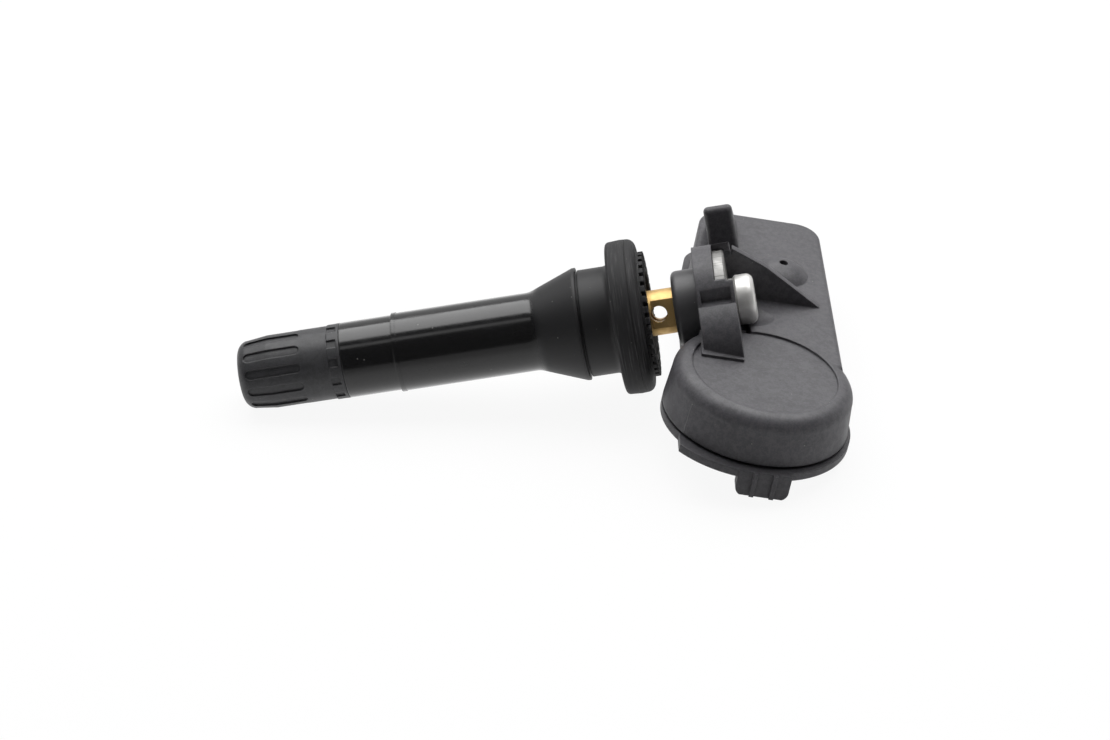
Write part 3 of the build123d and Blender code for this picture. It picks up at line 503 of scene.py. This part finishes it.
class SENSOR_OT_rubber_valve(bpy.types.Operator):
    """Finish the moulded rubber valve"""

    bl_idname = "sensor.rubber_valve"
    bl_label = "Rubber valve"

    def execute(self, context):
        rubber = moulded(
            "Valve rubber",
            tuple(context.scene.sensor_finish.rubber),
            "Valve space",
            size=0.10,
            depth=0.0015 * MM,
            rough=0.16,
            spread=0.04,
            edge=0.25 * MM,
            edge_highlight_share=0.35,
        )
        rubber.shader.inputs["Specular IOR Level"].default_value = 0.34
        smears = use_group(rubber.tree, "Smears", {"Vector": rubber.place["Vector"]})
        lay_over(rubber, "Roughness", smears["Mask"], 0.34, share=0.6)
        self.dull_cone(rubber)
        self.scuff_flange(rubber)
        self.draw_parting(rubber)
        add_dust(rubber, size=0.06, cell=0.8, share=0.35)
        dress(rubber, "rubber_valve")
        return {"FINISHED"}

    def dull_cone(self, rubber):
        """Glossy coat on the barrel, and satin rubber from the cone to the cuff."""
        coat = 0.5
        satin = between(rubber.tree, rubber.place["Along"], CONE_START - 0.2, CONE_START + 1.4)
        weight = maths(rubber.tree, "MULTIPLY_ADD", satin, -coat, coat)
        rubber.tree.links.new(weight, rubber.shader.inputs["Coat Weight"])
        rubber.shader.inputs["Coat Roughness"].default_value = 0.16
        lay_over(rubber, "Base Color", satin, SATIN_RUBBER)
        lay_over(rubber, "Roughness", satin, 0.48)

    def scuff_flange(self, rubber):
        """Duller flange with pale scuffs round it."""
        along = rubber.place["Along"]
        flange = between(rubber.tree, along, FLANGE_START - 0.2, FLANGE_START + 0.2)
        lay_over(rubber, "Roughness", flange, 0.66)
        scuffs = use_group(rubber.tree, "Scuffs", {"Along": along, "Turn": rubber.place["Turn"]})
        rubbed = maths(rubber.tree, "MULTIPLY", scuffs["Mask"], flange)
        lay_over(rubber, "Base Color", rubbed, SCUFFED_RUBBER, share=0.6)

    def draw_parting(self, rubber):
        """Thin parting line round the flange: a narrow groove at one station of its rim."""
        tree = rubber.tree
        off = maths(tree, "ABSOLUTE", maths(tree, "SUBTRACT", rubber.place["Along"], PARTING_AT))
        rim = between(tree, rubber.place["Radius"], FLANGE_RADIUS - 0.9, FLANGE_RADIUS - 0.5)
        groove = maths(tree, "MULTIPLY", between(tree, off, 0.08, 0.02), rim)
        bump_over(rubber, groove, -0.08 * MM, strength=0.8)
        lay_over(rubber, "Base Color", groove, PARTING_SHADOW, share=0.7)


class SENSOR_OT_dust_cap(bpy.types.Operator):
    """Finish the dust cap and the soft seals"""

    bl_idname = "sensor.dust_cap"
    bl_label = "Dust cap and seals"

    def execute(self, context):
        cap = moulded(
            "Cap plastic",
            tuple(context.scene.sensor_finish.cap),
            "Valve space",
            size=0.16,
            depth=0.006 * MM,
            rough=0.46,
            spread=0.05,
            edge=0.2 * MM,
            edge_highlight_share=0.5,
        )
        add_dust(cap, size=0.05, cell=0.9, share=0.5)
        dress(cap, "valve_cap")
        seal = moulded(
            "Seal rubber",
            (0.03, 0.03, 0.03),
            "Valve space",
            size=0.1,
            depth=0.003 * MM,
            rough=0.6,
            spread=0.05,
            edge=0.1 * MM,
            edge_highlight_share=0.2,
        )
        dress(seal, "cap_seal", "core_gasket", "core_seal", "port_seal")
        return {"FINISHED"}


class SENSOR_OT_stem_and_core(bpy.types.Operator):
    """Finish the brass stem and the valve core"""

    bl_idname = "sensor.stem_and_core"
    bl_label = "Stem and core"

    def execute(self, context):
        scene = context.scene
        colour = tuple(scene.sensor_finish.brass)
        brass = turned_metal("Stem brass", colour, rough=0.48, ring=0.12, depth=0.004 * MM, metallic=0.86)
        self.cut_thread(brass, scene.sensor_thread)
        dress(brass, "brass_stem")
        core = turned_metal("Core brass", shade(colour, 0.9), rough=0.36, ring=0.1, depth=0.003 * MM)
        dress(core, "core_plug", "core_pin")
        steel = turned_metal("Spring steel", (0.55, 0.55, 0.55), rough=0.35, ring=0.1, depth=0.002 * MM)
        self.wind_spring(scene.sensor_spring, steel)
        return {"FINISHED"}

    def cut_thread(self, brass, thread):
        """Lay the inflation thread over the round outside of the stem, before its rubber, with painted
        shade darkening its roots.
        """
        tree = brass.tree
        along = brass.place["Along"]
        inputs = {"Along": along, "Turn": brass.place["Turn"], "Pitch": thread.pitch / MM}
        wave = use_group(tree, "Screw thread", inputs)["Height"]
        outside = between(tree, brass.place["Radius"], THREAD_RADIUS - 0.25, THREAD_RADIUS - 0.1)
        before = between(tree, along, RUBBER_MOUTH + 0.1, RUBBER_MOUTH - 0.1)
        mask = maths(tree, "MULTIPLY", outside, before)
        bump_over(brass, maths(tree, "MULTIPLY", wave, mask), thread.depth)
        # Painted shade: the thread's roots darkened where shade falls between the ridges.
        root_shade = maths(tree, "MULTIPLY", between(tree, wave, 0.45, 0.05), mask)
        lay_over(brass, "Base Color", root_shade, THREAD_ROOT_SHADE, share=0.7)

    def wind_spring(self, sizes, steel):
        """Coil spring: a circle of wire carried along a helix about the valve axis.

        The helix rises evenly over the length of the spring's solid and reaches its outside.
        The spring shortens as the pin is pressed.
        """
        steps_in_turn = 36
        points = 12
        solid = frame["nodes"]["core_spring"].data
        corners = np.zeros(len(solid.vertices) * 3)
        solid.vertices.foreach_get("co", corners)
        corners = corners.reshape(-1, 3)
        side = np.array([0.0, 1.0, 0.0])
        above = np.cross(VALVE_AXIS, side)
        stations = corners @ VALVE_AXIS
        first, last = stations.min(), stations.max()
        half = sizes.wire / 2
        coil = np.hypot(corners @ side, corners @ above).max() - half
        rings = sizes.turns * steps_in_turn + 1
        turn = np.linspace(0, 2 * np.pi * sizes.turns, rings)[:, None]
        around = np.linspace(0, 2 * np.pi, points, endpoint=False)[None, :]
        reach = coil + half * np.cos(around)
        rise = (last - first - sizes.wire) * turn / turn.max()
        station = first + half + rise + half * np.sin(around)
        place = (
            station[..., None] * VALVE_AXIS
            + (reach * np.cos(turn))[..., None] * side
            + (reach * np.sin(turn))[..., None] * above
        ).reshape(-1, 3)
        ring, spot = np.meshgrid(np.arange(rings - 1), np.arange(points), indexing="ij")
        here = ring * points
        there = here + points
        after = (spot + 1) % points
        walls = np.stack([here + spot, there + spot, there + after, here + after], -1).reshape(-1, 4)
        ends = [list(range(points)), list(range(rings * points - 1, (rings - 1) * points - 1, -1))]
        mesh = bpy.data.meshes.new("coil_spring")
        mesh.from_pydata(place.tolist(), [], walls.tolist() + ends)
        smooth = np.ones(len(mesh.polygons), dtype=bool)
        smooth[-len(ends):] = False
        mesh.polygons.foreach_set("use_smooth", smooth)
        mesh.materials.append(steel.material)
        piece = bpy.data.objects.new("coil_spring", mesh)
        bpy.context.collection.objects.link(piece)
        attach(piece, "valve_unit")
        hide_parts("core_spring")
        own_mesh(piece)


class SENSOR_OT_clamp_steel(bpy.types.Operator):
    """Finish the clamp plate and the screw"""

    bl_idname = "sensor.clamp_steel"
    bl_label = "Clamp plate and screw"

    def execute(self, context):
        colour = tuple(context.scene.sensor_finish.steel)
        screw = turned_metal("Plated steel", colour, rough=0.38, ring=0.1, depth=0.002 * MM, metallic=0.5)
        dress(screw, "stem_screw")
        sheet = turned_metal("Sheet steel", shade(colour, 0.42), rough=0.46, ring=0.1, depth=0.002 * MM)
        self.draw_rolling(sheet)
        dress(sheet, "clamp_plate")
        return {"FINISHED"}

    def draw_rolling(self, sheet):
        """Rolling streaks on the plate: a noise of the place across it."""
        streaks_in_mm = 3.0
        tree = sheet.tree
        across = maths(tree, "MULTIPLY", split(tree, sheet.place["Vector"])[1], streaks_in_mm)
        rolled = line_noise(tree, across, detail=4.0, roughness=0.7)
        lay_over(sheet, "Base Color", between(tree, rolled, 0.45, 0.75), ROLLED_STEEL)


class SENSOR_OT_body_shell(bpy.types.Operator):
    """Finish the sensor body and its base cover"""

    bl_idname = "sensor.body_shell"
    bl_label = "Body and cover"

    def execute(self, context):
        look = context.scene.sensor_finish
        grain = {"size": 0.2, "depth": 0.022 * MM, "rough": 0.50, "spread": 0.06}
        body = moulded("Body plastic", tuple(look.body), "Body space", edge=0.28 * MM, edge_highlight_share=0.4, **grain)
        self.smooth_nose(body)
        self.draw_seam(body)
        cover = moulded("Cover plastic", tuple(look.cover), "Body space", edge=0.22 * MM, edge_highlight_share=0.5, **grain)
        for finish, name in ((body, "sensor_housing"), (cover, "base_cover")):
            add_dust(finish, size=0.05, cell=0.9, share=0.5)
            dress(finish, name)
        return {"FINISHED"}

    def smooth_nose(self, body):
        """Smoother, darker plastic on the round nose that faces the valve."""
        valve = use_group(body.tree, "Valve space")
        before = between(body.tree, valve["Along"], NOSE_END + 0.02, NOSE_END - 0.02)
        close = between(body.tree, valve["Radius"], NOSE_RADIUS + 0.04, NOSE_RADIUS + 0.02)
        nose = maths(body.tree, "MULTIPLY", before, close)
        lay_over(body, "Base Color", nose, NOSE_PLASTIC)
        lay_over(body, "Roughness", nose, 0.4)

    def draw_seam(self, body):
        """Faint mould seam up the round wall: a thin band of one turn about the cell's axis."""
        tree = body.tree
        across = maths(tree, "SUBTRACT", body.place["X"], CELL_AT[0])
        along = maths(tree, "SUBTRACT", body.place["Y"], CELL_AT[1])
        turn = maths(tree, "ARCTAN2", along, across)
        off = maths(tree, "ABSOLUTE", maths(tree, "SUBTRACT", turn, SEAM_TURN))
        wall = between(tree, body.place["Z"], -1.2, -2.4)
        band = maths(tree, "MULTIPLY", between(tree, off, 0.012, 0.003), wall)
        bump_over(body, band, 0.06 * MM, strength=0.8)
        lay_over(body, "Base Color", band, SEAM_PLASTIC, share=0.5)


class SENSOR_OT_electronics(bpy.types.Operator):
    """Finish the cell, board and parts inside the body"""

    bl_idname = "sensor.electronics"
    bl_label = "Electronics"

    def execute(self, context):
        steel = turned_metal("Cell steel", (0.62, 0.62, 0.63), rough=0.28, ring=0.3, depth=0.002 * MM)
        dress(steel, "coin_cell")
        nickel = turned_metal("Strap nickel", (0.62, 0.61, 0.57), rough=0.35, ring=0.2, depth=0.002 * MM)
        dress(nickel, "positive_strap", "negative_strap", "crystal")
        copper = turned_metal("Copper wire", (0.72, 0.34, 0.18), rough=0.35, ring=0.15, depth=0.006 * MM)
        dress(copper, "coil_winding", "antenna")
        self.mould("Board laminate", (0.02, 0.13, 0.05), 0.3, 0.003 * MM, 0.4, "circuit_board")
        self.mould("Package plastic", (0.02, 0.02, 0.02), 0.1, 0.004 * MM, 0.5, "sensor_chip")
        self.mould("Ferrite", (0.06, 0.055, 0.055), 0.2, 0.006 * MM, 0.55, "coil_core", "capacitors")
        return {"FINISHED"}

    def mould(self, name, colour, size, depth, rough, *pieces):
        """Dress small pieces in a moulded finish with fine edges."""
        fine = {"spread": 0.05, "edge": 0.1 * MM, "edge_highlight_share": 0.3}
        dress(moulded(name, colour, "Body space", size=size, depth=depth, rough=rough, **fine), *pieces)


class SENSOR_OT_stage(bpy.types.Operator):
    """Set the pale table, the soft lamps and the camera"""

    bl_idname = "sensor.stage"
    bl_label = "Stage"

    def execute(self, context):
        scene = context.scene
        setup = scene.sensor_stage
        scene.view_settings.view_transform = "Standard"
        self.table()
        self.world(scene)
        self.lamp("Softbox", place=(0.05, 0.32, 0.50), size=(0.84, 0.64), power=setup.softbox)
        self.lamp("Strip", place=(0.05, -0.19, 0.50), size=(0.84, 0.09), power=setup.strip)
        self.camera(scene, setup)
        return {"FINISHED"}

    def table(self):
        """Wide flat sheet: a square grid of two parameters at the height of the part's lowest point."""
        ground = CAD_BOX[0][2]
        count = 3
        steps = np.linspace(-3.0, 3.0, count)
        across, along = np.meshgrid(steps, steps)
        points = np.stack([across, along, np.full_like(across, ground)], -1).reshape(-1, 3)
        first = (np.arange(count - 1)[:, None] * count + np.arange(count - 1)).ravel()
        faces = np.stack([first, first + 1, first + count + 1, first + count], -1)
        mesh = bpy.data.meshes.new("Table")
        mesh.from_pydata(points.tolist(), [], faces.tolist())
        mesh.materials.append(self.paper())
        sheet = bpy.data.objects.new("Table", mesh)
        bpy.context.collection.objects.link(sheet)

    def paper(self):
        """White paper that keeps a light shadow.

        A mirrored ray sees it white behind the part and dimmer in front.
        """
        camera_share = 0.92
        made, tree, shader = blank_material("Table paper")
        shader.inputs["Base Color"].default_value = (0.86, 0.86, 0.865, 1.0)
        shader.inputs["Roughness"].default_value = 0.8
        along = split(tree, make_node(tree, "ShaderNodeTexCoord").outputs["Object"])[1]
        path = make_node(tree, "ShaderNodeLightPath").outputs
        mirrored = path["Is Glossy Ray"]
        dimmed = between(tree, along, -0.05, 0.004, 0.45, 1.0)
        level = make_node(tree, "ShaderNodeMix", {0: mirrored, 2: 1.0, 3: dimmed}).outputs[0]
        glow = make_node(tree, "ShaderNodeEmission", {"Color": (1.0, 1.0, 1.0, 1.0), "Strength": level})
        seen = maths(tree, "MULTIPLY", path["Is Camera Ray"], camera_share)
        share = maths(tree, "MAXIMUM", seen, mirrored)
        mixed = make_node(tree, "ShaderNodeMixShader", {0: share, 1: shader.outputs[0], 2: glow.outputs[0]})
        output = next(node for node in tree.nodes if node.type == "OUTPUT_MATERIAL")
        tree.links.new(mixed.outputs[0], output.inputs["Surface"])
        return made

    def world(self, scene):
        """White to the camera, pale behind the part and dark on the camera's side."""
        dark, pale = 0.06, 0.6
        white = (1.0, 1.0, 1.0, 1.0)
        world = bpy.data.worlds.new("Studio")
        scene.world = world
        world.use_nodes = True
        tree = world.node_tree
        tree.nodes.clear()
        path = make_node(tree, "ShaderNodeLightPath").outputs
        seen = maths(tree, "MAXIMUM", path["Is Camera Ray"], path["Is Transmission Ray"])
        along = split(tree, make_node(tree, "ShaderNodeTexCoord").outputs["Generated"])[1]
        glow = between(tree, along, -0.25, 0.35, dark, pale)
        room = make_node(tree, "ShaderNodeBackground", {"Color": white, "Strength": glow}).outputs[0]
        back = make_node(tree, "ShaderNodeBackground", {"Color": white, "Strength": 1.0}).outputs[0]
        mixed = make_node(tree, "ShaderNodeMixShader", {0: seen, 1: room, 2: back})
        make_node(tree, "ShaderNodeOutputWorld", {"Surface": mixed.outputs[0]})

    def lamp(self, name, place, size, power):
        """Rectangular soft lamp that hangs level and shines down."""
        data = bpy.data.lights.new(name, "AREA")
        data.shape = "RECTANGLE"
        data.size, data.size_y = size
        data.energy = power
        lamp = bpy.data.objects.new(name, data)
        lamp.location = place
        bpy.context.collection.objects.link(lamp)

    def camera(self, scene, setup):
        """Camera with the rim groove at its place in the picture."""
        rise = setup.elevation
        level = Vector((1, 0, 0))
        above = Vector((0, math.sin(rise), math.cos(rise)))
        back = Vector((0, -math.cos(rise), math.sin(rise)))
        right = level * math.cos(setup.roll) - above * math.sin(setup.roll)
        up = level * math.sin(setup.roll) + above * math.cos(setup.roll)
        pixel = setup.distance * FILM / setup.lens / PICTURE[0]
        place = (
            back * setup.distance
            - right * (setup.seat_x - PICTURE[0] / 2) * pixel
            - up * (PICTURE[1] / 2 - setup.seat_y) * pixel
        )
        data = bpy.data.cameras.new("Camera")
        data.lens = setup.lens
        data.sensor_width = FILM
        data.clip_start = 0.01
        data.clip_end = 20.0
        camera = bpy.data.objects.new("Camera", data)
        turn = Matrix((right, up, back)).transposed()
        camera.matrix_world = Matrix.Translation(place) @ turn.to_4x4()
        bpy.context.collection.objects.link(camera)
        scene.camera = camera


STEPS = (
    SENSOR_OT_shared_effects,
    SENSOR_OT_rubber_valve,
    SENSOR_OT_dust_cap,
    SENSOR_OT_stem_and_core,
    SENSOR_OT_clamp_steel,
    SENSOR_OT_body_shell,
    SENSOR_OT_electronics,
    SENSOR_OT_stage,
)


class SENSOR_PT_panel(bpy.types.Panel):
    """Lists the steps that dress the sensor"""

    bl_idname = "SENSOR_PT_panel"
    bl_label = "Tyre pressure sensor"
    bl_space_type = "VIEW_3D"
    bl_region_type = "UI"
    bl_category = "Sensor"

    def draw(self, context):
        for step in STEPS:
            self.layout.operator(step.bl_idname)
        scene = context.scene
        for group in (scene.sensor_finish, scene.sensor_thread, scene.sensor_spring, scene.sensor_stage):
            for name in group.__annotations__:
                self.layout.prop(group, name)


CLASSES = (SensorFinish, SensorThread, SensorSpring, SensorStage, *STEPS, SENSOR_PT_panel)


def register():
    """Register the classes and hang their settings on the scene."""
    for item in CLASSES:
        bpy.utils.register_class(item)
    bpy.types.Scene.sensor_finish = bpy.props.PointerProperty(type=SensorFinish)
    bpy.types.Scene.sensor_thread = bpy.props.PointerProperty(type=SensorThread)
    bpy.types.Scene.sensor_spring = bpy.props.PointerProperty(type=SensorSpring)
    bpy.types.Scene.sensor_stage = bpy.props.PointerProperty(type=SensorStage)


def unregister():
    """Take the settings off the scene and unregister the classes."""
    del bpy.types.Scene.sensor_stage
    del bpy.types.Scene.sensor_spring
    del bpy.types.Scene.sensor_thread
    del bpy.types.Scene.sensor_finish
    for item in reversed(CLASSES):
        bpy.utils.unregister_class(item)


def main():
    """Register and run every step in order."""
    register()
    for step in STEPS:
        getattr(bpy.ops.sensor, step.bl_idname.split(".")[1])()


if __name__ == "__main__":
    main()
